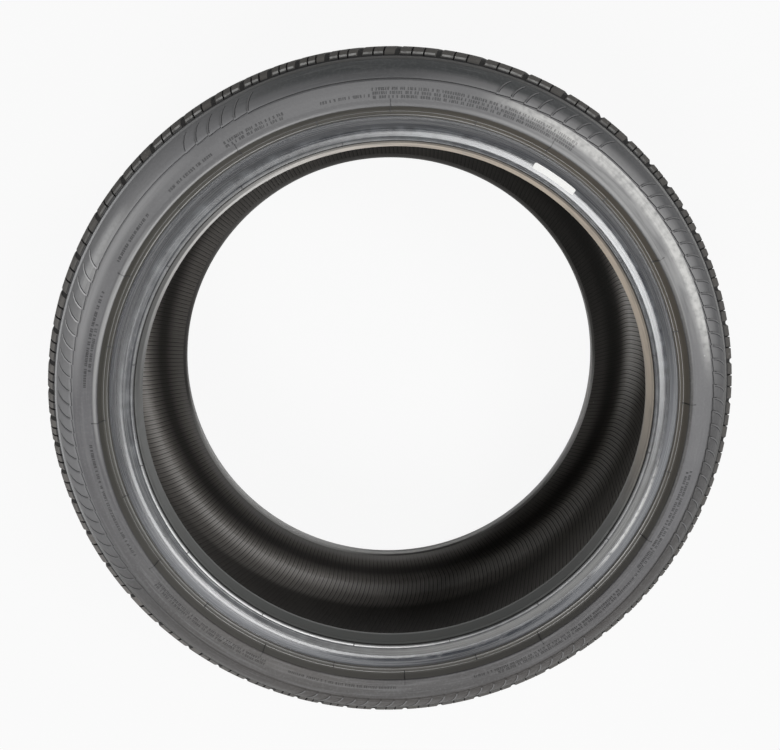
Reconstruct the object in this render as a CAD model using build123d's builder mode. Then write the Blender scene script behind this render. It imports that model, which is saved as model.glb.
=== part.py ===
"""Passenger-car tyre, off its wheel, lying flat with the outer sidewall up.

Millimetres, +Z up.  The axle line is the Z axis and z = 0 is the surface that the tyre lies on.
Section points are (radius from the axle line, distance out from the tyre's mid-plane).
"""
import os
from math import cos, degrees, pi, radians, sin, sqrt

from build123d import *

# Bead, to suit a rim of 18 inch diameter code
bead_seat_diameter = 457.2
bead_seat_length = 11.0
heel_height = 6.0
heel_width = 4.6
flange_height = 24.6
flange_lean = 5.0

# Overall sizes of the free tyre, off its rim
section_height = 87.4
section_width = 232.0

# Rim protector, the lip that stands out beyond the rim flange
protector_overhang = 11.7
protector_rise = 4.4

# Upper sidewall, bowed out between the flat lower sidewall and the shoulder
upper_wall_height = 19.5
upper_wall_bow = 1.7

# Crown and shoulder
tread_width = 181.0
crown_curve_radius = 480.0
buttress_height = 9.9
buttress_flare = 9.0

# Grooves round the tread
centre_groove_width = 8.0
outer_groove_offset = 36.0
outer_groove_width = 11.0
outer_groove_floor = 7.0
groove_depth = 7.4

# Cross slots between the shoulder blocks, at a pitch that swells and shrinks round the tyre
pitch_count = 62
pitch_swing = 0.45
pitch_waves = 5
slot_width = 4.2
slot_depth = 5.4
side_stagger = 3.1

# Wall, thick at the crown and over the bead, thin in the upper sidewall
crown_thickness = 21.5
sidewall_thickness = 9.5
bead_thickness = 6.5
apex_rise = 5.0
apex_taper = 17.5
liner_shoulder_inset = 7.0

# Blank paper label stuck on the bead face
label_length = 42.0
label_width = 5.6
label_thickness = 0.15
label_corner = 1.2
label_direction = 57.0
label_rise = 3.4

# Working values
mid_height = section_width / 2
seat_radius = bead_seat_diameter / 2
crown_radius = seat_radius + section_height
flange_radius = seat_radius + flange_height
flange_out = mid_height - protector_overhang
heel_out = flange_out - flange_lean
seat_out = heel_out - heel_width
tread_half = tread_width / 2
groove_inside = outer_groove_offset - outer_groove_width / 2
groove_outside = outer_groove_offset + outer_groove_width / 2


def crown_at(out):
    """Radius of the tread surface at a distance out from the mid-plane."""
    return crown_radius - crown_curve_radius + sqrt(crown_curve_radius**2 - out**2)


# Section points of one half, from the middle of the tread round the bead to the liner
groove_bottom = crown_at(outer_groove_offset) - groove_depth
centre_groove = (crown_radius - groove_depth, 0)
centre_edge = (crown_radius, centre_groove_width / 2)
rib_edge = (crown_radius, groove_inside)
floor_inner = (groove_bottom, outer_groove_offset - outer_groove_floor / 2)
floor_outer = (groove_bottom, outer_groove_offset + outer_groove_floor / 2)
block_edge = (crown_at(groove_outside), groove_outside)
tread_edge = (crown_at(tread_half), tread_half)
ridge = (tread_edge[0] - buttress_height, tread_half + buttress_flare)
wall_top = (ridge[0] - upper_wall_height, mid_height)
wall_middle = ((ridge[0] + wall_top[0]) / 2 + upper_wall_bow, (ridge[1] + wall_top[1]) / 2 + upper_wall_bow)
lip = (flange_radius + protector_rise, mid_height)
flange_top = (flange_radius, flange_out)
heel = (seat_radius + heel_height, heel_out)
seat_start = (seat_radius, seat_out)
toe = (seat_radius, seat_out - bead_seat_length)
liner_apex = (lip[0] + apex_rise, flange_out - bead_thickness)
liner_side = (liner_apex[0] + apex_taper, mid_height - sidewall_thickness)
liner_shoulder = (crown_radius - crown_thickness, ridge[1] - liner_shoulder_inset)
liner_middle = (crown_radius - crown_thickness, 0)


def section_plane(direction):
    """Plane through the axle line, with its origin at the tyre's middle."""
    turn = radians(direction)
    return Plane(origin=(0, 0, mid_height), x_dir=(cos(turn), sin(turn), 0), z_dir=(sin(turn), -cos(turn), 0))


def slot_directions(stagger):
    """Directions of the slots of one shoulder, in degrees."""
    pitch = 360 / pitch_count
    swing = [pitch_swing * sin(2 * pi * pitch_waves * k / pitch_count) for k in range(pitch_count)]
    return [stagger + pitch * (k + swing[k]) for k in range(pitch_count)]


# Slot cutter: its floor falls from the edge of the outer groove, to slot_depth under the tread edge and on
slot_angle = degrees(slot_width / tread_edge[0])
slot_fall = (tread_edge[0] - slot_depth - block_edge[0]) / (tread_edge[1] - block_edge[1])
slot_mouth = (block_edge[0] + slot_fall * (mid_height - block_edge[1]), mid_height)
slot_head = crown_radius + groove_depth
with BuildPart() as slot:
    with BuildSketch(section_plane(0)):
        with BuildLine():
            Polyline(block_edge, slot_mouth, (slot_head, mid_height), (slot_head, block_edge[1]), close=True)
        make_face()
    revolve(axis=Axis.Z, revolution_arc=slot_angle)

# The tyre, vulcanised in one piece
with BuildPart() as tyre:
    with BuildSketch(section_plane(0)):
        with BuildLine():
            Polyline(centre_groove, centre_edge, rib_edge, floor_inner, floor_outer, block_edge, tread_edge,
                     ridge, wall_middle, wall_top, lip, flange_top, heel, seat_start, toe,
                     liner_apex, liner_side, liner_shoulder, liner_middle, close=True)
        make_face()
        mirror(about=Plane.XZ)
    revolve(axis=Axis.Z)
    with Locations(*[Location((0, 0, 0), (0, 0, turn)) for turn in slot_directions(0)]):
        add(slot.part, mode=Mode.SUBTRACT)
    with Locations(*[Location((0, 0, section_width), (180, 0, turn)) for turn in slot_directions(side_stagger)]):
        add(slot.part, mode=Mode.SUBTRACT)
tyre.part.label = "tyre"

# The label lies flat on the cone of the bead face
face_run = (Vector(*flange_top) - Vector(*heel)).normalized()
face_out = Vector(-face_run.Y, face_run.X)
label_inner = Vector(*heel) + face_run * label_rise
label_outer = label_inner + face_run * label_width
label_angle = degrees(label_length / label_inner.X)
with BuildPart() as bead_label:
    with BuildSketch(section_plane(label_direction - label_angle / 2)):
        with BuildLine():
            Polyline(label_inner, label_outer, label_outer + face_out * label_thickness,
                     label_inner + face_out * label_thickness, close=True)
        make_face()
    revolve(axis=Axis.Z, revolution_arc=label_angle)
    chamfer(bead_label.edges().filter_by(lambda edge: edge.length < 2 * label_thickness), length=label_corner)
bead_label.part.label = "bead_label"

os.makedirs("parts", exist_ok=True)
export_step(tyre.part, "parts/tyre.step")
export_step(bead_label.part, "parts/bead_label.step")
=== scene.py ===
"""Looks of a passenger-car tyre that lies flat, outer sidewall up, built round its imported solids.

The frame is in metres.  Section sizes below are in millimetres: a section point is
(radius from the axle line, distance out from the tyre's mid-plane).  Directions round the tyre
that follow the photograph are in degrees clockwise from its upper edge.
"""
import math
import random

import bpy
import numpy as np
from mathutils import Matrix, Vector


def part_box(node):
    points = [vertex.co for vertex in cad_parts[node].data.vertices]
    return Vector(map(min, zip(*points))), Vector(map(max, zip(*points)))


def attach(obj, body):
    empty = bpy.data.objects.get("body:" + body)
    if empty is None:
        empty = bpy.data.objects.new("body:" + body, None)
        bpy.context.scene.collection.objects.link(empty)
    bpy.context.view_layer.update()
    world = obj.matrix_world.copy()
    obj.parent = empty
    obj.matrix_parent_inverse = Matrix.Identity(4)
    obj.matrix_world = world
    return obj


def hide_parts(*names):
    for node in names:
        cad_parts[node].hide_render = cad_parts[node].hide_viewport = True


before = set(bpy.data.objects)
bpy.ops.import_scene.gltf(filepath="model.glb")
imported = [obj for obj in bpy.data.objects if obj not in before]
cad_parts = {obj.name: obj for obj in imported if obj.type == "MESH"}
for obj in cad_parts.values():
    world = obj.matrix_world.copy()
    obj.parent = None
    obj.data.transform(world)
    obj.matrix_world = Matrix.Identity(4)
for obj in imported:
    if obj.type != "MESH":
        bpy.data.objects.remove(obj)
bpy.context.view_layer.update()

MM = 0.001
TURN = 2 * math.pi
rng = random.Random(18)

# Driving sizes, from the frame
tyre_low, tyre_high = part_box("tyre")
crown_radius = tyre_high.x / MM
half_width = (tyre_high.z - tyre_low.z) / 2 / MM

# Tread
crown_curve = 480.0
rib_start = 4.0
rib_end = 30.5
outer_groove_middle = 36.0
block_start = 41.5
tread_edge = 90.5
groove_depth = 7.4
edge_round = 0.7
edge_lean = 0.1

# Shoulder blocks: slots at a pitch that swells and shrinks, two sipes in each block
pitch_count = 62
pitch_swing = 0.45
pitch_waves = 5
slot_width = 4.2
slot_depth = 5.4
slot_mouth_depth = 1.4
slot_mouth_start = 93.0
slot_draft = 1.3
slot_slant = 0.38
slant_pivot = 93.0
side_stagger = 3.1
edge_bevel = 0.9
sipe_width = 1.5
sipe_depth = 4.2
sipe_edge_depth = 1.3
sipe_edge_start = 80.0
sipe_start = 52.0
sipe_end_slope = 0.7

# Rib sipes
rib_sipes_per_pitch = 2
rib_sipe_width = 0.8
rib_sipe_depth = 3.4
rib_sipe_start = 12.5
rib_sipe_end_slope = 0.6
rib_sipe_slant = 0.5
rib_edge_drop = 0.5
rib_foot_depth = 8.2

# Hatched band on the upper sidewall: panels laid like shingles, in these stretches
hatch_count = 146
hatch_relief = 0.95
hatch_slant = 2.3
hatch_saw = 1.0
hatch_ranges = ((18.5, 39.0), (47.0, 121.0), (143.5, 203.0), (238.0, 300.5), (324.5, 338.0))

# Vent ridges that the mould leaves
vent_count = 12
vent_scatter = 1.0
lip_vent_start = -1.0
lip_vent_limit = 264.0
twin_vent_start = 14.0
heel_vent_count = 16
heel_vent_start = 11.0
heel_vent_limit = 234.3
vent_width = 1.0
vent_height = 0.5
vent_foot = 0.3
vent_top_share = 0.6

# Rows of plain bars on the lower sidewall: first and last direction, and radius of their feet
mark_rows = (
    (-5, 32, 269.6), (-5, 32, 266.5), (-5, 32, 263.4),
    (102, 160, 268.2), (102, 124, 265.0), (130, 165, 265.0),
    (181, 203, 264.4), (208, 235, 266.4), (208, 235, 263.2),
    (242, 265, 264.8), (276, 294, 266.4), (279, 288, 263.2),
    (300, 310, 265.4), (315, 325, 264.8), (328, 339, 266.4),
    (328, 339, 263.3), (346, 354, 265.0))
mark_widths = (0.7, 1.7)
mark_gaps = (0.5, 0.6, 0.7, 2.2)
mark_tilt = 0.15
mark_height = 2.4
mark_relief = 0.35
mark_foot = 0.2
mark_bevel = 0.2
mark_top_share = 0.8

# Paper label on the bead face, which leans with it and so spans less radius than its width
label_length = 42.0
label_width = 5.6
label_lean = 0.2
label_corner = 1.3
label_middle = 57.0
label_inner_radius = 237.9
label_thickness = 0.15
label_tension = 0.08
label_rows = 10
label_columns = 14

plain_columns = 200
bump_strength = 0.6

# Lines that the curing bladder leaves on the liner: count, and radians of their pattern per metre up
bladder_lines = 340
bladder_slant = 384.0


# Small geometry helpers

def crown_at(out):
    """Radius of the tread surface at a distance out from the mid-plane."""
    return crown_radius - crown_curve + math.sqrt(crown_curve**2 - out**2)


def rounded(corners, steps):
    """Section path with each (radius, out, rounding) corner turned by an arc of that rounding."""
    path = []
    for index, (x, y, rounding) in enumerate(corners):
        here = Vector((x, y))
        if rounding == 0 or index in (0, len(corners) - 1):
            path.append((x, y))
            continue
        back = Vector(corners[index - 1][:2]) - here
        ahead = Vector(corners[index + 1][:2]) - here
        half_angle = back.angle(ahead) / 2
        reach = min(rounding / math.tan(half_angle), back.length / 2, ahead.length / 2)
        start = here + back.normalized() * reach
        end = here + ahead.normalized() * reach
        for step in range(steps + 1):
            t = step / steps
            path.append(tuple((1 - t)**2 * start + 2 * t * (1 - t) * here + t**2 * end))
    return path


def arc_through(first, middle, last, shares):
    """Points of the circle through three section points, at shares of the way from first to last."""
    chords = np.array([middle, last]) - first
    x, y = first + np.linalg.solve(chords, (chords**2).sum(axis=1) / 2)
    radius = math.dist(first, (x, y))
    start, end = (math.atan2(point[1] - y, point[0] - x) for point in (first, last))
    sweep = (end - start + math.pi) % TURN - math.pi
    turns = [start + share * sweep for share in shares]
    return [(x + radius * math.cos(turn), y + radius * math.sin(turn)) for turn in turns]


def outward(path):
    """Unit normals of a section path that runs from the tread towards the bead."""
    along = np.gradient(np.array(path), axis=0)
    normal = np.stack([along[:, 1], -along[:, 0]], axis=1)
    return normal / np.linalg.norm(normal, axis=1)[:, None]


def from_axle(angle, radius, out):
    """Places in the frame, in metres, of points given by direction, radius and distance out."""
    return np.stack([radius * np.cos(angle), radius * np.sin(angle), half_width + out], axis=-1) * MM


def photo_angle(clockwise):
    """Angle from +X, in radians, of a direction that follows the photograph."""
    return math.radians(90 - clockwise)


def pitch_turn(place):
    """Direction, in radians, of a place counted in pitches, which swell and shrink round the tyre."""
    swell = pitch_swing * math.sin(TURN * pitch_waves * place / pitch_count)
    return TURN / pitch_count * (place + swell)


def new_piece(name, points, faces, materials, finishes=None, sharp_degrees=40):
    """A smooth-shaded mesh object, with sharp edges where its faces turn by more than an angle."""
    data = bpy.data.meshes.new(name)
    data.from_pydata(points, [], faces)
    for material in materials:
        data.materials.append(material)
    if finishes:
        data.polygons.foreach_set("material_index", finishes)
    data.polygons.foreach_set("use_smooth", [True] * len(data.polygons))
    data.set_sharp_from_angle(angle=math.radians(sharp_degrees))
    piece = bpy.data.objects.new(name, data)
    bpy.context.scene.collection.objects.link(piece)
    return piece


def quads_between(here, after):
    """Faces between two rings with the same columns."""
    return np.stack([here, np.roll(here, -1), np.roll(after, -1), after], axis=1).tolist()


class Skin:
    """A closed skin, built ring by ring round the section, with the rings' own columns."""

    def __init__(self):
        self.points = []
        self.faces = []
        self.finishes = []
        self.first = None
        self.last = None

    def add(self, angle, radius, out, finishes):
        """Adds a grid of rows and columns; finishes gives each strip's material, first the seam before it."""
        rows, columns = angle.shape
        index = len(self.points) + np.arange(rows * columns).reshape(rows, columns)
        self.points.extend(from_axle(angle, radius, out).reshape(-1, 3).tolist())
        if self.last:
            self.join(self.last, (angle[0], index[0]), finishes[0])
        else:
            self.first = (angle[0], index[0])
        for here, after, finish in zip(index, index[1:], finishes[1:]):
            self.faces.extend(quads_between(here, after))
            self.finishes.extend(np.broadcast_to(finish, columns).tolist())
        self.last = (angle[-1], index[-1])

    def join(self, before, after, finish):
        """Joins two rings whose columns stand at different directions."""
        a, a_index = self.in_order(*before)
        b, b_index = self.in_order(*after)
        i = j = 0
        while i < len(a) - 1 or j < len(b) - 1:
            if j == len(b) - 1 or (i < len(a) - 1 and a[i + 1] <= b[j + 1]):
                self.faces.append([a_index[i], a_index[i + 1], b_index[j]])
                i += 1
            else:
                self.faces.append([a_index[i], b_index[j + 1], b_index[j]])
                j += 1
            self.finishes.append(finish)

    def in_order(self, angle, index):
        """A ring's directions from 0 to a whole turn, with its first point again at the end."""
        turned = np.mod(angle, TURN)
        order = np.argsort(turned)
        turned = np.append(turned[order], turned[order[0]] + TURN)
        return turned.tolist(), np.append(index[order], index[order[0]]).tolist()

    def close(self, finish):
        """Joins the last ring to the first."""
        self.join(self.last, self.first, finish)


# Finishes of the skin, in the order of its materials
(TREAD, SLOT, FACET_EDGE, RIDGE, UPPER_WALL, PANEL_EDGE, PANEL_SHADE,
 LOWER_WALL, PROTECTOR, TWIN_LINE, BEAD_FACE, HEEL_GROOVE, BEAD_BASE, LINER) = range(14)


# Zones of the section, each as grids of direction, radius and distance out

def plain_zone(path, finishes):
    """A section path turned round the axle, with one finish or one for each of its rows."""
    angle = np.tile(np.linspace(0, TURN, plain_columns, endpoint=False), (len(path), 1))
    radius, out = (np.tile(np.array(values)[:, None], plain_columns) for values in zip(*path))
    if not isinstance(finishes, list):
        finishes = [finishes] * len(path)
    return angle, radius, out, finishes


def far_side(angle, radius, out, finishes):
    """The same zone on the far half, in the order that goes on round the section."""
    return angle[::-1], radius[::-1], -out[::-1], [finishes[0]] + finishes[:0:-1]


# Kinds of columns round a shoulder, and its rows below the facets
TOP, EASED, SLOT_FLOOR, SIPE_FLOOR = range(4)
rows_below_facets = 2


def shoulder_rows():
    """Rows of a shoulder: radius, distance out, and step out where a block has no facet."""
    groove_floor = crown_at(outer_groove_middle) - groove_depth
    groove_side = [
        (groove_floor + 0.4, 39.7, 0.0),
        (crown_at(block_start) - edge_round, block_start - edge_lean, 0.0)]
    crown_rows = (block_start + edge_round, sipe_start, sipe_start + sipe_end_slope, 64.0, 77.0, 87.6)
    buttress = [
        (306.9, 91.2, 0.0), (305.6, 93.1, 0.0), (303.5, 95.0, 0.0), (302.7, 95.6, -0.5),
        (300.1, 96.7, -0.9), (299.5, 96.5, 0.0), (298.8, 97.3, 0.0)]
    return groove_side + [(crown_at(out), out, 0.0) for out in crown_rows] + buttress


slot_span = slot_width / crown_at(tread_edge)


def slot_starts(side):
    """Directions where the slots of one shoulder start, in radians."""
    turns = [pitch_turn(k) for k in range(pitch_count)]
    if side < 0:
        turns = [-(turn + math.radians(side_stagger) + slot_span) for turn in turns]
    return sorted(turn % TURN for turn in turns)


def shoulder_columns(side):
    """Columns round a shoulder: direction, kind, and whether that part of its block has a facet."""
    bevel_span = edge_bevel / crown_radius
    draft_span = slot_draft / crown_radius
    sipe_half = sipe_width / crown_radius / 2
    sipe_floor_half = sipe_width / crown_radius / 5
    starts = slot_starts(side)
    columns = []
    for k, (start, after) in enumerate(zip(starts, starts[1:] + [starts[0] + TURN])):
        block_from = start + slot_span
        # In every other block, the part nearest the slot before it is plain
        first = k % 2 == 0
        columns += [
            (start, EASED, False), (start + draft_span, SLOT_FLOOR, False),
            (block_from - draft_span, SLOT_FLOOR, False), (block_from, EASED, first),
            (block_from + bevel_span, TOP, first)]
        for sipe in (1, 2):
            at = block_from + (after - block_from) * sipe / 3
            before = first or sipe > 1
            columns += [
                (at - sipe_half, TOP, before), (at - sipe_floor_half, SIPE_FLOOR, before),
                (at + sipe_floor_half, SIPE_FLOOR, True), (at + sipe_half, TOP, True)]
        columns.append((after - bevel_span, TOP, True))
    return (np.array(values) for values in zip(*columns))


def slot_floor_at(radius, out):
    """Radius of a slot's floor under a point of the shoulder; its mouth is shallow."""
    fall = (crown_at(tread_edge) - slot_depth - crown_at(block_start)) / (tread_edge - block_start)
    floor = min(radius, crown_at(block_start) + fall * (out - block_start))
    if out > slot_mouth_start:
        floor = max(floor, radius - slot_mouth_depth)
    return floor


def shoulder_zone(side):
    """Blocks of one shoulder with slots, sipes and outer facets, from the groove to the buttress."""
    rows = shoulder_rows()
    below = len(rows) - rows_below_facets
    angles, kinds, facets = shoulder_columns(side)
    radius, out = np.empty((2, len(rows), len(angles)))
    for row, (r, a, facet_step) in enumerate(rows):
        radius[row] = r
        out[row] = np.where(facets, a, a + facet_step)
        if a >= sipe_start:
            floor = slot_floor_at(r, a)
            radius[row][kinds == EASED] = max(r - edge_bevel, floor)
            radius[row][kinds == SLOT_FLOOR] = floor
        if a > sipe_start and row < below:
            depth = sipe_depth if a < sipe_edge_start else sipe_edge_depth
            radius[row][kinds == SIPE_FLOOR] = r - depth
            if a > tread_edge:
                out[row][kinds == SIPE_FLOOR] -= depth
    slants = [side * slot_slant * (a - slant_pivot) / crown_radius for _, a, _ in rows]
    angle = np.array(slants)[:, None] + angles[None, :]
    hollow = (kinds == SLOT_FLOOR) | (kinds == SIPE_FLOOR)
    in_hollow = hollow | np.roll(hollow, -1)
    on_facet = facets & np.roll(facets, -1) & (kinds == TOP) & ~in_hollow
    # Slot and sipe walls and floors get the slot finish, painted almost black as shade
    finishes = [TREAD] + [np.where(in_hollow & (a >= sipe_start), SLOT, TREAD) for _, a, _ in rows[1:]]
    # The facets get their own finish with a painted highlight, and the tread below them gets painted shade
    finishes[below - 1] = np.where(on_facet, FACET_EDGE, finishes[below - 1])
    for row in range(below, len(rows)):
        finishes[row] = np.where(finishes[row] == TREAD, PANEL_SHADE, finishes[row])
    return angle, radius, out, finishes


def rib_zone():
    """A rib beside the centre groove, with slanted blind sipes open to the outer groove."""
    edge_radius = crown_radius - rib_edge_drop
    # Radius, distance out, and whether the sipes cut the row
    rows = [
        (edge_radius, rib_start - edge_lean, 0), (crown_radius, rib_start + edge_round, 0),
        (crown_radius, rib_sipe_start, 0), (crown_radius, rib_sipe_start + rib_sipe_end_slope, 1),
        (crown_radius, 21.0, 1), (crown_radius, rib_end - edge_round, 1),
        (edge_radius, rib_end + edge_lean, 1), (edge_radius - rib_sipe_depth, rib_end + 0.9, 0),
        (crown_radius - rib_foot_depth, rib_end + 2.0, 0)]
    middles = [pitch_turn(k / rib_sipes_per_pitch) for k in range(pitch_count * rib_sipes_per_pitch)]
    span = rib_sipe_width / crown_radius
    offsets = np.array([-span / 2, -span / 3, span / 3, span / 2])
    base = (np.array(middles)[:, None] + offsets[None, :]).ravel()
    low = np.tile([0, 1, 1, 0], len(middles))
    angle = np.array([base + rib_sipe_slant * (a - rib_start) / crown_radius for _, a, _ in rows])
    radius = np.array([r - low * cut * rib_sipe_depth for r, _, cut in rows])
    out = np.array([np.full(len(base), a) for _, a, _ in rows])
    # Sipe walls and floors get the slot finish, painted almost black as shade
    hollow = np.where((low + np.roll(low, -1)) > 0, SLOT, TREAD)
    finishes = [TREAD] + [hollow if cut else TREAD for _, _, cut in rows[1:]]
    return angle, radius, out, finishes


# Upper sidewall: the ridge under the blocks, the curve below it and a shallow groove
ridge = [(298.5, 98.1), (298.0, 99.4), (297.4, 100.1), (296.7, 100.2), (296.0, 100.5)]
upper_wall_shares = (0.07, 0.18, 0.24, 0.42, 0.65, 0.87, 0.975)
upper_wall = arc_through(ridge[-1], (289.0, 108.9), (279.6, 114.6), upper_wall_shares)
upper_groove = [(279.2, 114.4), (278.5, 114.2), (277.9, 114.7)]
upper_path = ridge + upper_wall + upper_groove


def hatch_zone():
    """Upper sidewall of the outer side, with slanted panels laid like shingles."""
    path = np.array(upper_path)
    # How far the panels have grown and slanted at each point of the path, and where their ends are sawn
    growth = np.array([0] * len(ridge) + [0, 0, 0.3, 0.7, 0.9, 1, 1] + [0.3, 0, 0])
    lean = np.array([0] * len(ridge) + [0.0, 0.12, 0.22, 0.47, 0.74, 0.93, 1.0] + [1, 1, 1])
    saw_rows = np.array([0] * (len(path) - 4) + [1, 1, 1, 0])
    # Each panel rises a little anticlockwise to a thin rib, and drops where the next one starts
    step_shares = np.array([0.0, 0.055, 0.5, 0.835, 0.88, 0.985])
    step_rise = [0.0, 0.1, 0.3, 0.4, 1.0, 1.0]
    # Steps and the rise to each rib get painted shade, and the ribs their own finish
    step_finish = [UPPER_WALL] * 3 + [PANEL_SHADE, PANEL_EDGE, PANEL_SHADE]
    pitch = TURN / hatch_count
    base = ((np.arange(hatch_count)[:, None] + step_shares[None, :]) * pitch).ravel()
    clockwise = np.mod(90 - np.degrees(base), 360)
    inside = np.any([(clockwise > low) & (clockwise < high) for low, high in hatch_ranges], axis=0)
    rise = np.tile(step_rise, hatch_count) * inside
    normal = outward(path)
    lift = growth[:, None] * hatch_relief * rise[None, :]
    saw = saw_rows[:, None] * hatch_saw * ((0.5 - np.tile(step_shares, hatch_count)) * inside)[None, :]
    angle = base[None, :] + math.radians(hatch_slant) * lean[:, None]
    radius = path[:, :1] + normal[:, :1] * lift + saw
    out = path[:, 1:] + normal[:, 1:] * lift
    panels = np.where(inside & np.roll(inside, -1), np.tile(step_finish, hatch_count), UPPER_WALL)
    finishes = [TREAD] + [RIDGE] * (len(ridge) - 1)
    # The panels have their own finishes where they are more than half grown, and the groove gets painted
    # shade
    finishes += [panels if grown > 0.5 else UPPER_WALL for grown in growth[len(ridge):]]
    finishes[-2] = PANEL_SHADE
    return angle, radius, out, finishes


# Lower sidewall, rim protector, bead, liner and grooves; corners are (radius, out, rounding)
lower_wall = rounded([
    (277.2, 115.0, 0), (270.0, 115.5, 8.0), (262.5, 115.3, 3.0), (259.9, 115.95, 1.2),
    (257.7, 115.85, 0.8), (257.3, 114.4, 0)], steps=2)
protector = rounded([(257.1, 113.5, 0), (255.9, 109.2, 1.2), (255.3, 107.5, 0)], steps=3)
outer_twin_ridge = [(255.0, 107.3), (254.7, 107.7), (254.2, 107.6), (253.8, 106.8)]
twin_ridges = outer_twin_ridge + [
    (253.1, 106.2), (252.5, 106.2), (252.2, 106.7), (251.5, 106.6), (251.2, 105.8), (250.9, 105.0)]
# Rows whose strips are the twin ridges' crests, which get painted highlights
twin_crests = (2, 7)
bead_face = rounded([
    (250.7, 104.9, 0), (250.3, 104.2, 0.4), (243.0, 102.97, 1.1), (240.4, 102.9, 0.6),
    (239.8, 102.5, 0.4), (238.8, 102.0, 0.7), (237.2, 101.44, 1.0), (235.5, 100.8, 0.4),
    (235.1, 100.5, 0.2), (234.6, 99.7, 0.3), (234.2, 100.05, 0.2), (232.5, 99.92, 0.4),
    (232.2, 98.6, 0.3), (231.6, 97.4, 0)], steps=2)
# The last steps of the bead face, by the heel, get painted shade
heel_groove_steps = 3
bead_base = rounded([
    (231.3, 97.0, 0), (230.4, 96.0, 0.8), (228.4, 85.0, 1.4), (228.6, 83.5, 0.7),
    (230.6, 83.9, 0)], steps=2)
liner_half = rounded([
    (232.5, 85.0, 0), (262.6, 97.8, 30.0), (279.4, 106.2, 10.0), (291.2, 97.2, 14.0),
    (294.6, 86.0, 40.0), (294.5, 30.0, 0)], steps=4)
liner = liner_half + [(294.5, 0.0)] + [(r, -a) for r, a in reversed(liner_half)]
outer_groove = [(307.7, 32.9), (307.2, 34.0), (307.2, 38.0), (307.5, 39.1)]
centre_groove = [(314.7, -3.4), (309.4, -1.4), (308.6, 0.0), (309.4, 1.4), (314.7, 3.4)]


def build_tyre(materials):
    """The whole tyre as one closed skin, from the centre groove round both beads."""
    groove = plain_zone(outer_groove, TREAD)
    wall = plain_zone(lower_wall, [UPPER_WALL] + [LOWER_WALL] * (len(lower_wall) - 1))
    lip = plain_zone(protector, PROTECTOR)
    twin_finishes = [TWIN_LINE if k in twin_crests else PROTECTOR for k in range(len(twin_ridges))]
    twin = plain_zone(twin_ridges, twin_finishes)
    face_steps = len(bead_face) - heel_groove_steps
    face = plain_zone(bead_face, [BEAD_FACE] * face_steps + [HEEL_GROOVE] * heel_groove_steps)
    base = plain_zone(bead_base, BEAD_BASE)
    inner_steps = len(upper_path) - len(ridge)
    inner_wall = plain_zone(upper_path, [RIDGE] * len(ridge) + [UPPER_WALL] * inner_steps)
    skin = Skin()
    skin.add(*plain_zone(centre_groove, TREAD))
    for zone in (rib_zone(), groove, shoulder_zone(1), hatch_zone(), wall, lip, twin, face, base):
        skin.add(*zone)
    skin.add(*plain_zone(liner, LINER))
    for zone in (base, face, twin, lip, wall, inner_wall, shoulder_zone(-1), groove, rib_zone()):
        skin.add(*far_side(*zone))
    skin.close(TREAD)
    return new_piece("tyre_rubber", skin.points, skin.faces, materials, skin.finishes)


class Blocks:
    """Many small closed blocks that stand on the skin, gathered in one mesh."""

    def __init__(self):
        self.points = []
        self.faces = []

    def strip(self, angle, radius, out):
        """A closed strip: rows along it, and four columns round it, from foot over the top to foot."""
        places = from_axle(*(np.array(grid) for grid in (angle, radius, out))).reshape(-1, 3)
        rings = len(self.points) + np.arange(len(places)).reshape(-1, 4)
        self.points.extend(places.tolist())
        for here, after in zip(rings, rings[1:]):
            self.faces.extend(quads_between(here, after))
        self.faces += [rings[0, ::-1].tolist(), rings[-1].tolist()]


def strip_columns(heading, half, top_share):
    """Directions of a strip's four columns: its feet, and its narrower top between them."""
    return [heading + half * share for share in (-1, -top_share, top_share, 1)]


def vent_ridge(blocks, path, clockwise):
    """A thin ridge across the section path, where the mould vents."""
    lifts = (-vent_foot, vent_height, vent_height, -vent_foot)
    angle, radius, out = [], [], []
    for (r, a), (nr, na) in zip(path, outward(path)):
        angle.append(strip_columns(photo_angle(clockwise), vent_width / 2 / r, vent_top_share))
        radius.append([r + nr * lift for lift in lifts])
        out.append([min(a + na * lift, half_width) for lift in lifts])
    blocks.strip(angle, radius, out)


def plain_mark(blocks, clockwise, width, radius_low, tilt):
    """A small plain raised bar on the lower sidewall."""
    wall_radius, wall_out = zip(*reversed(lower_wall))
    angle, radius, out = [], [], []
    for edge, step in ((0, -1), (mark_height, 1)):
        r = radius_low + edge
        level = float(np.interp(r, wall_radius, wall_out))
        heading = photo_angle(clockwise) + tilt * step / r
        top_radius = r - step * mark_bevel
        foot_out = level - mark_foot
        top_out = level + mark_relief
        angle.append(strip_columns(heading, width / 2 / r, mark_top_share))
        radius.append([r, top_radius, top_radius, r])
        out.append([foot_out, top_out, top_out, foot_out])
    blocks.strip(angle, radius, out)


def build_marks(material):
    """Vent ridges over the lip, the twin ridges and the heel, and rows of plain bars."""
    blocks = Blocks()
    lip_path = [point for point in lower_wall if point[0] < lip_vent_limit] + protector + outer_twin_ridge
    heel_path = [point for point in bead_face if point[0] < heel_vent_limit]
    for k in range(vent_count):
        for path, start in ((lip_path, lip_vent_start), (twin_ridges, twin_vent_start)):
            clockwise = 360 / vent_count * k + start
            vent_ridge(blocks, path, clockwise + rng.uniform(-vent_scatter, vent_scatter))
    for k in range(heel_vent_count):
        vent_ridge(blocks, heel_path, 360 / heel_vent_count * k + heel_vent_start)
    for start, end, radius_low in mark_rows:
        clockwise = start
        while clockwise < end:
            width = rng.uniform(*mark_widths)
            clockwise += math.degrees((width + rng.choice(mark_gaps)) / radius_low)
            tilt = rng.uniform(-mark_tilt, mark_tilt)
            plain_mark(blocks, clockwise, width, radius_low, tilt)
    return new_piece("mould_marks", blocks.points, blocks.faces, [material], sharp_degrees=30)


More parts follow.
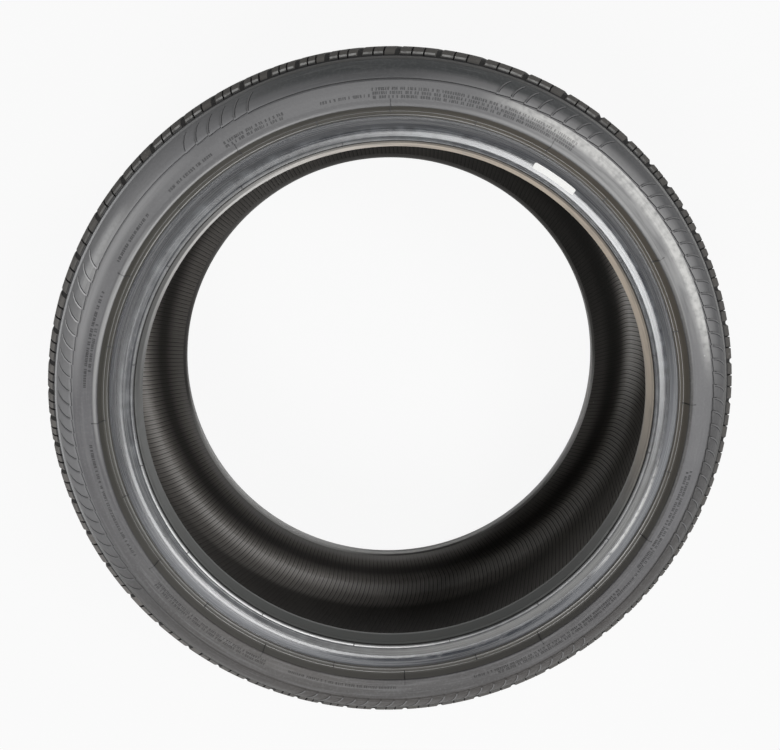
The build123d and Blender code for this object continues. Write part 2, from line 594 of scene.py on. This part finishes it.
def bridged(across, under):
    """Levels of paper that bridges hollows: as high as any straight line between two points under it."""
    level = under.copy()
    for i in range(len(across)):
        for j in range(i + 1, len(across)):
            share = (across[i:j + 1] - across[i]) / (across[j] - across[i])
            level[i:j + 1] = np.maximum(level[i:j + 1], under[i] + share * (under[j] - under[i]))
    return level


def build_label(material):
    """A paper label with rounded corners, stretched over the bead face."""
    face_radius, face_out = (np.array(values) for values in zip(*reversed(bead_face)))
    outer_radius = label_inner_radius + label_width - label_lean
    middle = (label_inner_radius + outer_radius) / 2
    across = np.linspace(label_inner_radius, outer_radius, label_rows)
    level = bridged(across, np.interp(across, face_radius, face_out))
    corner = np.array([0.0, 0.05, 0.2, 0.5, 1.0]) * label_corner
    straight = np.linspace(label_corner, label_length - label_corner, label_columns)[1:-1]
    length_steps = np.concatenate([corner, straight, label_length - corner[::-1]])
    points = []
    for lift in (label_tension + label_thickness, -label_tension):
        for step in length_steps:
            to_end = min(step, label_length - step, label_corner)
            inset = label_corner - math.sqrt(label_corner**2 - (label_corner - to_end)**2)
            radius = middle + (across - middle) * (1 - 2 * inset / label_width)
            angle = math.radians(label_middle) + (step - label_length / 2) / middle
            out = np.interp(radius, across, level) + lift
            points.extend(from_axle(np.full(label_rows, angle), radius, out).tolist())
    count = len(length_steps) * label_rows
    top = np.arange(count).reshape(-1, label_rows)
    sheet = np.stack([top[:-1, :-1], top[:-1, 1:], top[1:, 1:], top[1:, :-1]], axis=-1).reshape(-1, 4)
    rim = np.concatenate([top[:, 0], top[-1, 1:], top[-2::-1, -1], top[0, -2:0:-1]])
    after = np.roll(rim, -1)
    edge = np.stack([rim, after, after + count, rim + count], axis=1)
    faces = np.concatenate([sheet, sheet[:, ::-1] + count, edge]).tolist()
    return new_piece("bead_label_paper", points, faces, [material])


# Materials

def put(tree, socket, value):
    """Links a socket to a node's output, or sets its value."""
    if isinstance(value, bpy.types.NodeSocket):
        tree.links.new(value, socket)
    else:
        socket.default_value = value


def add_node(tree, kind, settings=None, *values, **inputs):
    """A node with settings, and inputs in order or by name that are values or sockets."""
    node = tree.nodes.new(kind)
    for name, value in (settings or {}).items():
        setattr(node, name, value)
    for key, value in [*enumerate(values), *inputs.items()]:
        put(tree, node.inputs[key], value)
    return node


def math_node(tree, operation, a, b):
    """The result of an operation on one or two numbers."""
    return add_node(tree, "ShaderNodeMath", {"operation": operation}, a, b).outputs[0]


class Finish:
    """A material whose patterns follow the tyre: heading from the axle, radius and height."""

    def __init__(self, name, specular=0.5):
        self.material = bpy.data.materials.new(name)
        self.material.use_nodes = True
        self.tree = self.material.node_tree
        self.shader = self.tree.nodes["Principled BSDF"]
        self.specular = self.shader.inputs["Specular IOR Level"]
        self.specular.default_value = specular
        self.place = self.add("ShaderNodeTexCoord").outputs["Object"]
        self.x, self.y, self.height = self.add("ShaderNodeSeparateXYZ", Vector=self.place).outputs
        flat = self.vector("MULTIPLY", self.place, (1, 1, 0))
        self.radius = self.vector("LENGTH", flat)
        self.heading = self.vector("NORMALIZE", flat)
        self.colour = None

    def add(self, kind, settings=None, *values, **inputs):
        """A node of this material."""
        return add_node(self.tree, kind, settings, *values, **inputs)

    def put(self, socket, value):
        """Links or sets a socket of this material."""
        put(self.tree, socket, value)

    def vector(self, operation, a, b=(0, 0, 0)):
        """The result of a vector operation: a number for a length or a dot product."""
        node = self.add("ShaderNodeVectorMath", {"operation": operation}, a, b)
        return node.outputs["Value" if operation in ("LENGTH", "DOT_PRODUCT") else "Vector"]

    def math(self, operation, a, b=0.0):
        """The result of an operation on one or two patterns."""
        return math_node(self.tree, operation, a, b)

    def times(self, a, b):
        """A pattern times another, or times a share."""
        return self.math("MULTIPLY", a, b)

    def either(self, a, b):
        """The stronger of two patterns."""
        return self.math("MAXIMUM", a, b)

    def mapped(self, value, low, high):
        """A 0 to 1 value turned into a range."""
        return self.add("ShaderNodeMapRange", Value=value, **{"To Min": low, "To Max": high}).outputs[0]

    def band(self, value, low, high):
        """0 below low, 1 above high, or the other way round where low is the larger."""
        settings = {"interpolation_type": "SMOOTHSTEP"}
        inputs = {"Value": value, "From Min": min(low, high), "From Max": max(low, high)}
        inputs["To Min"], inputs["To Max"] = (0.0, 1.0) if low < high else (1.0, 0.0)
        return self.add("ShaderNodeMapRange", settings, **inputs).outputs[0]

    def by_radius(self, start, end):
        """0 at one radius in millimetres, and 1 at another."""
        return self.band(self.radius, start * MM, end * MM)

    def by_level(self, start, end):
        """0 at one distance out from the mid-plane in millimetres, and 1 at another."""
        return self.band(self.height, (half_width + start) * MM, (half_width + end) * MM)

    def between(self, low, high, soft):
        """1 between two radii in millimetres, with soft edges."""
        return self.times(self.by_radius(low - soft, low + soft), self.by_radius(high + soft, high - soft))

    def toward(self, clockwise, spread):
        """1 in a direction of the photograph, and 0 at a spread of degrees to both sides."""
        angle = photo_angle(clockwise)
        cosine = self.vector("DOT_PRODUCT", self.heading, (math.cos(angle), math.sin(angle), 0))
        return self.band(cosine, math.cos(math.radians(spread)), 1.0)

    def patch(self, clockwise, spread, low, high, soft):
        """1 in a direction of the photograph and between two radii."""
        return self.times(self.toward(clockwise, spread), self.between(low, high, soft))

    def noise(self, size_mm, detail=3.0):
        """Even noise with features of about a size."""
        scale = 1 / (size_mm * MM)
        return self.add("ShaderNodeTexNoise", Vector=self.place, Scale=scale, Detail=detail).outputs[0]

    def streaks(self, degrees, width_mm):
        """Noise that is drawn out round the tyre."""
        around = self.vector("SCALE", self.heading)
        around.node.inputs["Scale"].default_value = math.degrees(1) / degrees
        level = self.times(self.radius, 1 / (width_mm * MM))
        across = self.add("ShaderNodeCombineXYZ", Z=level).outputs[0]
        place = self.vector("ADD", around, across)
        return self.add("ShaderNodeTexNoise", Vector=place, Scale=1.0, Detail=2.0).outputs[0]

    def specks(self, spacing_mm, share):
        """1 in small specks."""
        cells = self.add("ShaderNodeTexVoronoi", Vector=self.place, Scale=1 / (spacing_mm * MM))
        return self.band(cells.outputs["Distance"], share, share * 0.6)

    def blend(self, factor, first, second):
        """A colour between two, each a colour or a socket."""
        node = self.add("ShaderNodeMix", {"data_type": "RGBA"})
        self.put(node.inputs[0], factor)
        for socket, value in ((node.inputs[6], first), (node.inputs[7], second)):
            self.put(socket, value if isinstance(value, bpy.types.NodeSocket) else (*value, 1))
        return node.outputs[2]

    def ground(self, pattern, first, second):
        """Starts the material's colour, between two by a pattern."""
        self.colour = self.blend(pattern, first, second)

    def paint(self, pattern, colour, share=1.0):
        """Lays a share of a colour over the material, where a pattern is 1."""
        factor = pattern if share == 1.0 else self.times(pattern, share)
        self.colour = self.blend(factor, self.colour, colour)

    def finish(self, roughness, height, depth_mm):
        """Ends the material with its colour, a roughness socket and a bump."""
        self.put(self.shader.inputs["Base Color"], self.colour)
        self.put(self.shader.inputs["Roughness"], roughness)
        bump = self.add("ShaderNodeBump", Height=height, Distance=depth_mm * MM, Strength=bump_strength)
        self.put(self.shader.inputs["Normal"], bump.outputs[0])
        return self.material


def tread_rubber():
    """Dull grey tread, paler at the left, with pale specks."""
    f = Finish("tread_rubber")
    worn = f.noise(14, 4)
    f.ground(worn, (0.052, 0.049, 0.045), (0.088, 0.083, 0.077))
    f.paint(f.toward(256, 60), (0.16, 0.152, 0.144), 0.75)
    f.paint(f.specks(9, 0.16), (0.22, 0.21, 0.2), 0.35)
    return f.finish(f.mapped(worn, 0.62, 0.85), f.noise(1.2, 2), 0.25)


def slot_rubber():
    """Walls and floors of slots and sipes, painted almost black as shade in the recesses."""
    f = Finish("slot_rubber")
    grain = f.noise(2.0)
    f.ground(grain, (0.008, 0.008, 0.008), (0.02, 0.019, 0.018))
    return f.finish(f.mapped(grain, 0.8, 0.95), grain, 0.2)


def facet_edge_rubber():
    """Facets at the feet of the blocks, paler at the left, with a painted highlight at the top and painted
    shade along their lower edge.
    """
    f = Finish("facet_edge_rubber")
    worn = f.noise(5, 4)
    # The painted highlight of the facets at the top
    bright = f.blend(f.band(worn, 0.25, 0.65), (0.12, 0.117, 0.112), (0.31, 0.31, 0.303))
    f.ground(worn, (0.046, 0.043, 0.04), (0.075, 0.071, 0.066))
    f.paint(f.toward(256, 60), (0.17, 0.162, 0.154), 0.75)
    f.paint(f.toward(352, 66), bright)
    # Painted shade along the facets' lower edge
    f.paint(f.by_radius(301.3, 300.7), (0.035, 0.034, 0.032))
    return f.finish(f.mapped(worn, 0.5, 0.75), f.noise(1.5), 0.2)


def ridge_rubber():
    """Ridge under the blocks, with a painted highlight at the left, pale at the right, and dark at the top.
    """
    f = Finish("ridge_rubber")
    worn = f.streaks(14, 1.2)
    f.ground(worn, (0.06, 0.059, 0.057), (0.11, 0.109, 0.106))
    # Painted highlight along the ridge at the left
    f.paint(f.toward(288, 58), (0.38, 0.385, 0.39), 0.9)
    f.paint(f.toward(58, 40), (0.22, 0.22, 0.218), 0.6)
    f.paint(f.toward(352, 52), (0.035, 0.035, 0.035), 0.5)
    return f.finish(f.mapped(worn, 0.45, 0.65), f.noise(1.5), 0.15)


def upper_wall_rubber():
    """Upper sidewall: brownish at the bottom, with painted light at the left, paler low at the right, and
    dark at the top.
    """
    f = Finish("upper_wall_rubber", specular=0.3)
    cloud = f.noise(38, 4)
    grit = f.noise(2.6, 4)
    f.ground(cloud, (0.072, 0.073, 0.076), (0.11, 0.11, 0.113))
    f.paint(f.toward(172, 104), (0.052, 0.047, 0.044), 0.9)
    # Painted light on the wall at the left
    f.paint(f.toward(292, 62), (0.24, 0.24, 0.246), 0.85)
    # Paler low on the wall at the right, and more painted light low at the left
    low_pale = f.times(f.either(f.toward(46, 50), f.toward(297, 24)), f.by_radius(290.0, 282.0))
    f.paint(low_pale, (0.25, 0.248, 0.25), 0.8)
    f.paint(f.patch(300, 10, 281.0, 288.0, 3.0), (0.55, 0.55, 0.55), 0.6)
    f.paint(f.times(f.toward(4, 42), f.by_radius(283.0, 289.0)), (0.036, 0.04, 0.041), 0.85)
    f.paint(f.band(f.streaks(9, 1.6), 0.52, 0.75), (0.17, 0.17, 0.17), 0.3)
    f.paint(f.band(grit, 0.42, 0.72), (0.16, 0.16, 0.162), 0.18)
    return f.finish(f.mapped(cloud, 0.5, 0.68), grit, 0.25)


def panel_edge_rubber():
    """Thin ribs of the panels, white at the left."""
    f = Finish("panel_edge_rubber")
    worn = f.noise(4, 3)
    f.ground(f.toward(299, 26), (0.13, 0.13, 0.133), (0.62, 0.62, 0.625))
    f.paint(worn, (0.09, 0.09, 0.09), 0.3)
    return f.finish(f.mapped(worn, 0.45, 0.65), worn, 0.1)


def panel_shade_rubber():
    """Painted shade in the steps between panels, in the groove below them and under the facets."""
    f = Finish("panel_shade_rubber", specular=0.2)
    mottle = f.noise(6, 3)
    f.ground(f.toward(190, 75), (0.026, 0.026, 0.027), (0.066, 0.062, 0.059))
    f.paint(f.toward(280, 65), (0.11, 0.11, 0.113), 0.8)
    f.paint(mottle, (0.06, 0.06, 0.061), 0.4)
    return f.finish(f.mapped(mottle, 0.7, 0.85), mottle, 0.1)


def dim(shade, *colour):
    """A colour made darker by a shade."""
    return tuple(shade * value for value in colour)


def wall_dust_and_light(f, shade):
    """Dust and chalk on the lower sidewall: streaks and a patch at the upper right, and painted light at the
    left.
    """
    dusty = f.times(f.toward(48, 34), f.band(f.streaks(7, 3.0), 0.25, 0.6))
    dusty = f.times(dusty, f.by_radius(259.0, 263.0))
    f.paint(dusty, (0.36, 0.36, 0.355), 0.65 * shade)
    chalk = f.patch(49, 40, 269.5, 280.5, 5.0)
    chalk = f.times(f.band(chalk, 0.0, 0.8), f.band(f.noise(5, 8), 0.05, 0.65))
    f.paint(chalk, (0.6, 0.595, 0.58), shade)
    # Painted light on the wall at the left
    f.paint(f.times(f.toward(299, 28), f.by_radius(269.0, 275.0)), (0.36, 0.36, 0.362), 0.6 * shade)


def lip_light_and_shade(f, shade):
    """Painted highlights on the top and edge of the lip over the rim protector, and painted shade on its
    stretch at the right.
    """
    # Painted highlights on the lip
    lip_top = f.times(f.either(f.toward(45, 42), f.toward(286, 28)), f.between(258.4, 260.8, 0.8))
    f.paint(lip_top, (0.42, 0.42, 0.415), 0.65 * shade)
    f.paint(f.patch(312, 44, 257.2, 258.6, 0.6), (0.5, 0.5, 0.495), 0.6 * shade)
    # Painted shade on the lip at the right
    f.paint(f.patch(92, 45, 255.0, 260.0, 0.8), dim(shade, 0.05, 0.048, 0.046), 0.85)


def lower_wall_rubber(name="lower_wall_rubber", shade=1.0):
    """Lower sidewall, brownish at the bottom and paler above, with painted light at the left and painted
    highlights and shade on the lip; the marks on it are darker.
    """
    f = Finish(name, specular=0.35)
    cloud = f.noise(30, 5)
    grit = f.noise(2.2, 4)
    f.ground(cloud, dim(shade, 0.092, 0.091, 0.096), dim(shade, 0.15, 0.148, 0.154))
    f.paint(f.toward(190, 85), dim(shade, 0.066, 0.063, 0.062), 0.8)
    f.paint(f.toward(208, 28), dim(shade, 0.092, 0.084, 0.078), 0.5)
    f.paint(f.times(f.toward(202, 50), f.by_radius(266.0, 271.0)), dim(shade, 0.045, 0.043, 0.042), 0.5)
    f.paint(f.toward(40, 90), dim(shade, 0.2, 0.2, 0.202), 0.6)
    f.paint(f.toward(325, 50), dim(shade, 0.19, 0.19, 0.192), 0.6)
    wall_dust_and_light(f, shade)
    lip_light_and_shade(f, shade)
    f.paint(f.band(f.streaks(11, 2.4), 0.45, 0.7), (0.19, 0.19, 0.193), 0.3 * shade)
    f.paint(f.band(grit, 0.45, 0.75), (0.24, 0.24, 0.242), 0.15 * shade)
    f.paint(f.specks(24, 0.035), (0.5, 0.5, 0.49), 0.8)
    return f.finish(f.mapped(cloud, 0.48, 0.66), grit, 0.25)


def protector_rubber():
    """Rim protector below its lip, brownish at the right and pale at the bottom."""
    f = Finish("protector_rubber", specular=0.3)
    lines = f.streaks(12, 1.0)
    f.ground(lines, (0.055, 0.053, 0.046), (0.11, 0.105, 0.094))
    f.paint(f.toward(60, 70), (0.125, 0.108, 0.086), 0.6)
    f.paint(f.toward(182, 110), (0.168, 0.163, 0.151), 0.75)
    return f.finish(f.mapped(lines, 0.42, 0.6), f.noise(1.2), 0.1)


def twin_line_rubber():
    """Crests of the twin ridges with painted highlights; the outer and the inner one are pale in different
    places.
    """
    f = Finish("twin_line_rubber")
    worn = f.streaks(25, 1.4)
    f.ground(f.band(worn, 0.3, 0.7), (0.11, 0.108, 0.106), (0.26, 0.255, 0.25))
    outer = f.by_radius(253.0, 253.6)
    inner = f.math("SUBTRACT", 1.0, outer)
    # Painted highlights on the crests, and darker where they have none
    f.paint(f.times(f.toward(50, 60), f.mapped(outer, 0.3, 0.7)), (0.4, 0.39, 0.38))
    f.paint(f.toward(135, 30), (0.4, 0.395, 0.385), 0.6)
    f.paint(f.times(inner, f.toward(315, 38)), (0.36, 0.355, 0.345), 0.6)
    darker_crest = f.either(f.toward(262, 45), f.times(inner, f.toward(170, 28)))
    darker_crest = f.either(darker_crest, f.times(outer, f.toward(322, 62)))
    f.paint(darker_crest, (0.1, 0.099, 0.096), 0.7)
    f.paint(f.times(outer, f.toward(203, 40)), (0.5, 0.495, 0.485), 0.85)
    return f.finish(f.mapped(worn, 0.3, 0.45), f.noise(2.0), 0.05)


def bead_dust_and_highlights(f):
    """Dust on the bead's roll and shelf, dark stretches between, a painted sheen on the face and painted
    highlights on the roll and the heel rib.
    """
    dust = f.times(f.between(232.3, 243.0, 1.0), f.band(f.noise(12, 4), 0.35, 0.75))
    f.paint(dust, (0.26, 0.275, 0.29), 0.3)
    f.paint(f.patch(148, 72, 235.0, 240.6, 0.8), (0.235, 0.235, 0.23), 0.85)
    f.paint(f.patch(266, 80, 234.8, 242.4, 0.8), (0.19, 0.195, 0.2), 0.25)
    dark_left = f.patch(290, 76, 243.8, 246.6, 0.8)
    dark_top = f.patch(38, 62, 247.4, 250.4, 0.8)
    f.paint(f.either(dark_left, dark_top), (0.02, 0.021, 0.024), 0.6)
    # Painted sheen on the face at the lower right and lower left
    face_sheen = f.times(f.either(f.toward(118, 50), f.toward(214, 48)), f.between(243.8, 250.4, 0.8))
    f.paint(face_sheen, (0.2, 0.207, 0.22), 0.7)
    # Painted highlight on the roll at the upper right
    f.paint(f.patch(48, 66, 235.8, 239.2, 0.8), (0.35, 0.36, 0.37), 0.5)
    # Painted highlights on the heel rib, strongest at the lower left
    rib_faint_highlight = f.times(f.either(f.toward(130, 42), f.toward(318, 60)), 0.35)
    rib_highlight = f.either(f.times(f.toward(212, 66), 0.9), rib_faint_highlight)
    f.paint(f.times(rib_highlight, f.between(232.4, 234.4, 0.4)), (0.42, 0.42, 0.415))


def bead_smears_and_painted_light(f):
    """Wiped, dark smears on the bead, the lower one a painted dark reflection, and a painted highlight patch
    on the crest; gives the smears.
    """
    wiped = f.times(f.band(f.noise(9, 5), 0.22, 0.5), f.band(f.streaks(7, 2.2), 0.22, 0.52))
    # The lower smear is a painted dark reflection with wiped streaks in it; the left one is a lubricant mark
    lower = f.patch(168, 40, 242.8, 246.2, 1.4)
    left = f.times(f.patch(279, 34, 235.4, 237.8, 1.4), 0.6)
    smear_and_dark_reflection = f.either(f.times(wiped, f.either(lower, left)), f.times(lower, 0.5))
    f.paint(smear_and_dark_reflection, (0.014, 0.017, 0.024))
    # Painted highlight on the crest at the lower right
    crest_highlight = f.patch(117, 17, 242.0, 244.4, 0.9)
    f.paint(f.times(crest_highlight, f.band(f.noise(5, 5), 0.15, 0.55)), (0.5, 0.5, 0.49))
    return smear_and_dark_reflection


def bead_face_rubber():
    """Glossy black bead with fine lines, dust, wiped smears, painted highlights and a painted dark
    reflection.
    """
    f = Finish("bead_face_rubber")
    fine = f.streaks(16, 0.7)
    f.ground(f.band(f.streaks(34, 2.2), 0.3, 0.7), (0.018, 0.02, 0.027), (0.06, 0.062, 0.065))
    f.paint(f.band(fine, 0.4, 0.75), (0.12, 0.123, 0.126), 0.35)
    bead_dust_and_highlights(f)
    smear_and_dark_reflection = bead_smears_and_painted_light(f)
    # Less specular on the smears and the painted dark reflection
    f.put(f.specular, f.mapped(smear_and_dark_reflection, 1.0, 0.3))
    return f.finish(f.mapped(fine, 0.2, 0.34), f.noise(2.4, 4), 0.05)


def heel_groove_rubber():
    """Painted shade in the step between the heel rib and the bead seat."""
    f = Finish("heel_groove_rubber", specular=0.2)
    mottle = f.noise(5, 3)
    f.ground(mottle, (0.012, 0.012, 0.012), (0.035, 0.034, 0.032))
    return f.finish(f.mapped(mottle, 0.6, 0.8), mottle, 0.1)


def bead_base_rubber():
    """Bead seats: the near one with painted light at the top, tan at the right and painted shade at the
    bottom and by the heel; the far one dark, with painted light at the lower left and right and along its
    edge by the hole.
    """
    f = Finish("bead_base_rubber")
    cloud = f.noise(10, 4)
    f.ground(cloud, (0.14, 0.143, 0.14), (0.24, 0.243, 0.24))
    # Painted shade at the bottom and painted light at the top of the near seat
    f.paint(f.toward(188, 76), (0.068, 0.073, 0.069), 0.85)
    f.paint(f.toward(340, 64), (0.86, 0.845, 0.82))
    f.paint(f.times(f.toward(42, 80), f.by_level(0.0, 23.2)), (0.64, 0.545, 0.44))
    f.paint(f.band(f.streaks(9, 1.1), 0.45, 0.75), (0.1, 0.095, 0.088), 0.35)
    # Painted shade near the heel, at the upper left and as a thin line all round
    heel_dark = f.times(f.times(f.by_level(89.5, 93.0), f.toward(303, 40)), 0.85)
    heel_line = f.times(f.by_level(94.6, 96.2), f.mapped(f.toward(5, 110), 0.3, 0.75))
    f.paint(f.either(heel_dark, heel_line), (0.05, 0.05, 0.049))
    f.paint(f.times(f.by_level(87.0, 85.5), f.toward(165, 100)), (0.3, 0.305, 0.3), 0.7)
    far = f.by_level(11.6, -11.6)
    f.paint(far, (0.095, 0.092, 0.088))
    # Painted light on the far seat at the lower left and right, and along its edge by the hole
    f.paint(f.times(far, f.either(f.toward(124, 40), f.toward(222, 44))), (0.6, 0.595, 0.585))
    far_edge = f.times(f.by_radius(229.5, 228.9), f.toward(170, 125))
    f.paint(f.times(far, far_edge), (0.5, 0.495, 0.485))
    return f.finish(f.mapped(cloud, 0.45, 0.65), f.noise(2.0), 0.15)


def liner_rubber():
    """Inside of the tyre, with the bladder's lines, painted light in pale patches and near the far toe, and
    painted shadow on the far slope, under the crown and at the upper right.
    """
    f = Finish("liner_rubber")
    cloud = f.noise(45, 4)
    turn = f.math("ARCTAN2", f.y, f.x)
    phase = f.math("ADD", f.times(turn, bladder_lines), f.times(f.height, bladder_slant))
    fine_line = f.band(f.math("SINE", f.times(phase, 2)), -0.2, 0.9)
    coarse_line = f.band(f.math("SINE", phase), 0.8, 0.985)
    coarse_line = f.times(coarse_line, f.band(f.noise(26), 0.2, 0.5))
    f.ground(cloud, (0.14, 0.131, 0.122), (0.23, 0.217, 0.204))
    # Painted light on the far wall at the lower left and lower right
    f.paint(f.patch(246, 76, 274.0, 289.0, 6.0), (0.4, 0.38, 0.357), 0.8)
    f.paint(f.patch(118, 60, 273.0, 293.0, 6.0), (0.62, 0.6, 0.57), 0.9)
    f.paint(fine_line, (0.04, 0.038, 0.036), 0.3)
    f.paint(coarse_line, (0.01, 0.01, 0.009), 0.9)
    # Painted shadow on the far slope and under the crown at the bottom
    under_crown = f.times(f.by_level(-86.0, -72.0), f.toward(192, 64))
    liner_shadow = f.either(f.between(249.0, 266.0, 7.0), under_crown)
    f.paint(liner_shadow, (0.017, 0.016, 0.015), 0.8)
    f.paint(f.toward(334, 40), (0.02, 0.02, 0.019), 0.5)
    # Painted shadow at the upper right, near the opening
    black_right = f.times(f.toward(48, 76), f.by_radius(280.0, 264.0))
    f.paint(black_right, (0.012, 0.012, 0.011), 0.85)
    # Painted light near the far toe, over the lower half
    by_toes = f.times(f.by_radius(245.0, 235.0), f.toward(195, 95))
    f.paint(by_toes, (0.36, 0.354, 0.342), 0.7)
    f.paint(f.specks(30, 0.03), (0.3, 0.29, 0.28))
    lines = f.math("ADD", f.times(fine_line, 0.4), coarse_line)
    return f.finish(f.mapped(cloud, 0.38, 0.55), f.math("SUBTRACT", 1.0, lines), 0.2)


def label_paper():
    """Plain white paper."""
    f = Finish("label_paper")
    fibre = f.noise(0.9, 4)
    f.ground(fibre, (0.78, 0.78, 0.76), (0.9, 0.9, 0.885))
    return f.finish(f.mapped(fibre, 0.55, 0.7), fibre, 0.04)


# The part

tyre = build_tyre([
    tread_rubber(), slot_rubber(), facet_edge_rubber(), ridge_rubber(),
    upper_wall_rubber(), panel_edge_rubber(), panel_shade_rubber(),
    lower_wall_rubber(), protector_rubber(), twin_line_rubber(), bead_face_rubber(),
    heel_groove_rubber(), bead_base_rubber(), liner_rubber()])
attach(tyre, "root")
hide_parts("tyre")

marks = build_marks(lower_wall_rubber("mark_rubber", shade=0.5))
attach(marks, "root")

label = build_label(label_paper())
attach(label, "root")
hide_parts("bead_label")


# Camera, fitted to the rings that the photograph shows

photo_width = 780
photo_height = 750
focal_pixels = 747.0
principal_pixel = (413.4, 351.7)
camera_place = Vector((-28.6, 183.0, 740.5 + half_width)) * MM
camera_tilt = -0.1995
camera_swing = -0.0631

camera_data = bpy.data.cameras.new("camera")
camera_data.sensor_width = 36.0
camera_data.lens = focal_pixels / photo_width * camera_data.sensor_width
camera_data.shift_x = (photo_width / 2 - principal_pixel[0]) / photo_width
camera_data.shift_y = (principal_pixel[1] - photo_height / 2) / photo_width
camera_data.clip_end = 50.0
camera = bpy.data.objects.new("camera", camera_data)
camera.matrix_world = (Matrix.Translation(camera_place) @ Matrix.Rotation(camera_swing, 4, "Y")
                       @ Matrix.Rotation(camera_tilt, 4, "X"))
bpy.context.scene.collection.objects.link(camera)
bpy.context.scene.camera = camera


# Stage, in metres

lamp_height = 2.15
lamp_target = Vector((0, 0, 0.1))
floor_reach = 6.0
floor_grey = 0.45
shadow_share = 0.08
soft_light = 0.17
backdrop_top = 0.3
ceiling_start = 0.6
ceiling_level = 0.1


def area_light(name, x, y, size, power):
    """A soft square lamp that looks at the tyre."""
    data = bpy.data.lights.new(name, "AREA")
    data.size = size
    data.energy = power
    lamp = bpy.data.objects.new(name, data)
    lamp.location = (x, y, lamp_height)
    lamp.rotation_euler = (lamp_target - lamp.location).to_track_quat("-Z", "Y").to_euler()
    bpy.context.scene.collection.objects.link(lamp)


def seen_ray(tree):
    """A socket that is 1 for rays that show the background, also in a reflection or through glass."""
    rays = add_node(tree, "ShaderNodeLightPath").outputs
    seen = math_node(tree, "MAXIMUM", rays["Is Camera Ray"], rays["Is Glossy Ray"])
    return math_node(tree, "MAXIMUM", seen, rays["Is Transmission Ray"])


def end_with_mix(tree, factor, first, second, end):
    """Ends a node tree with a mix of two shaders."""
    mix = add_node(tree, "ShaderNodeMixShader", None, factor, first, second)
    tree.links.new(mix.outputs[0], tree.nodes[end].inputs["Surface"])


def white_floor():
    """A pale floor that is white where it is seen, with a faint shadow of the tyre."""
    material = bpy.data.materials.new("floor_white")
    material.use_nodes = True
    tree = material.node_tree
    diffuse = tree.nodes["Principled BSDF"]
    diffuse.inputs["Base Color"].default_value = (floor_grey, floor_grey, floor_grey, 1)
    diffuse.inputs["Roughness"].default_value = 0.9
    glow = add_node(tree, "ShaderNodeEmission")
    share = math_node(tree, "MULTIPLY", seen_ray(tree), 1 - shadow_share)
    end_with_mix(tree, share, diffuse.outputs[0], glow.outputs[0], "Material Output")
    return material


def studio_world():
    """Soft light from all round, with a white background that greys towards the ceiling."""
    world = bpy.data.worlds.new("studio")
    world.use_nodes = True
    tree = world.node_tree
    soft = tree.nodes["Background"]
    soft.inputs["Color"].default_value = (soft_light, soft_light, soft_light, 1)
    heading = add_node(tree, "ShaderNodeTexCoord").outputs["Generated"]
    height = add_node(tree, "ShaderNodeSeparateXYZ", Vector=heading).outputs["Z"]
    limits = {"From Min": backdrop_top, "From Max": ceiling_start, "To Min": 1.0, "To Max": ceiling_level}
    level = add_node(tree, "ShaderNodeMapRange", Value=height, **limits).outputs[0]
    white = add_node(tree, "ShaderNodeBackground", Color=(1, 1, 1, 1), Strength=level)
    end_with_mix(tree, seen_ray(tree), soft.outputs[0], white.outputs[0], "World Output")
    return world


area_light("lower_left", -0.5, -1.25, size=1.05, power=35)
area_light("upper_right", 1.15, 0.55, size=0.7, power=22)
area_light("lower_right", 0.85, -1.0, size=0.6, power=5)

floor_corners = [(x * floor_reach, y * floor_reach, 0) for x, y in ((-1, -1), (1, -1), (1, 1), (-1, 1))]
floor = new_piece("floor", floor_corners, [(0, 1, 2, 3)], [white_floor()])

bpy.context.scene.world = studio_world()
bpy.context.scene.view_settings.view_transform = "Standard"
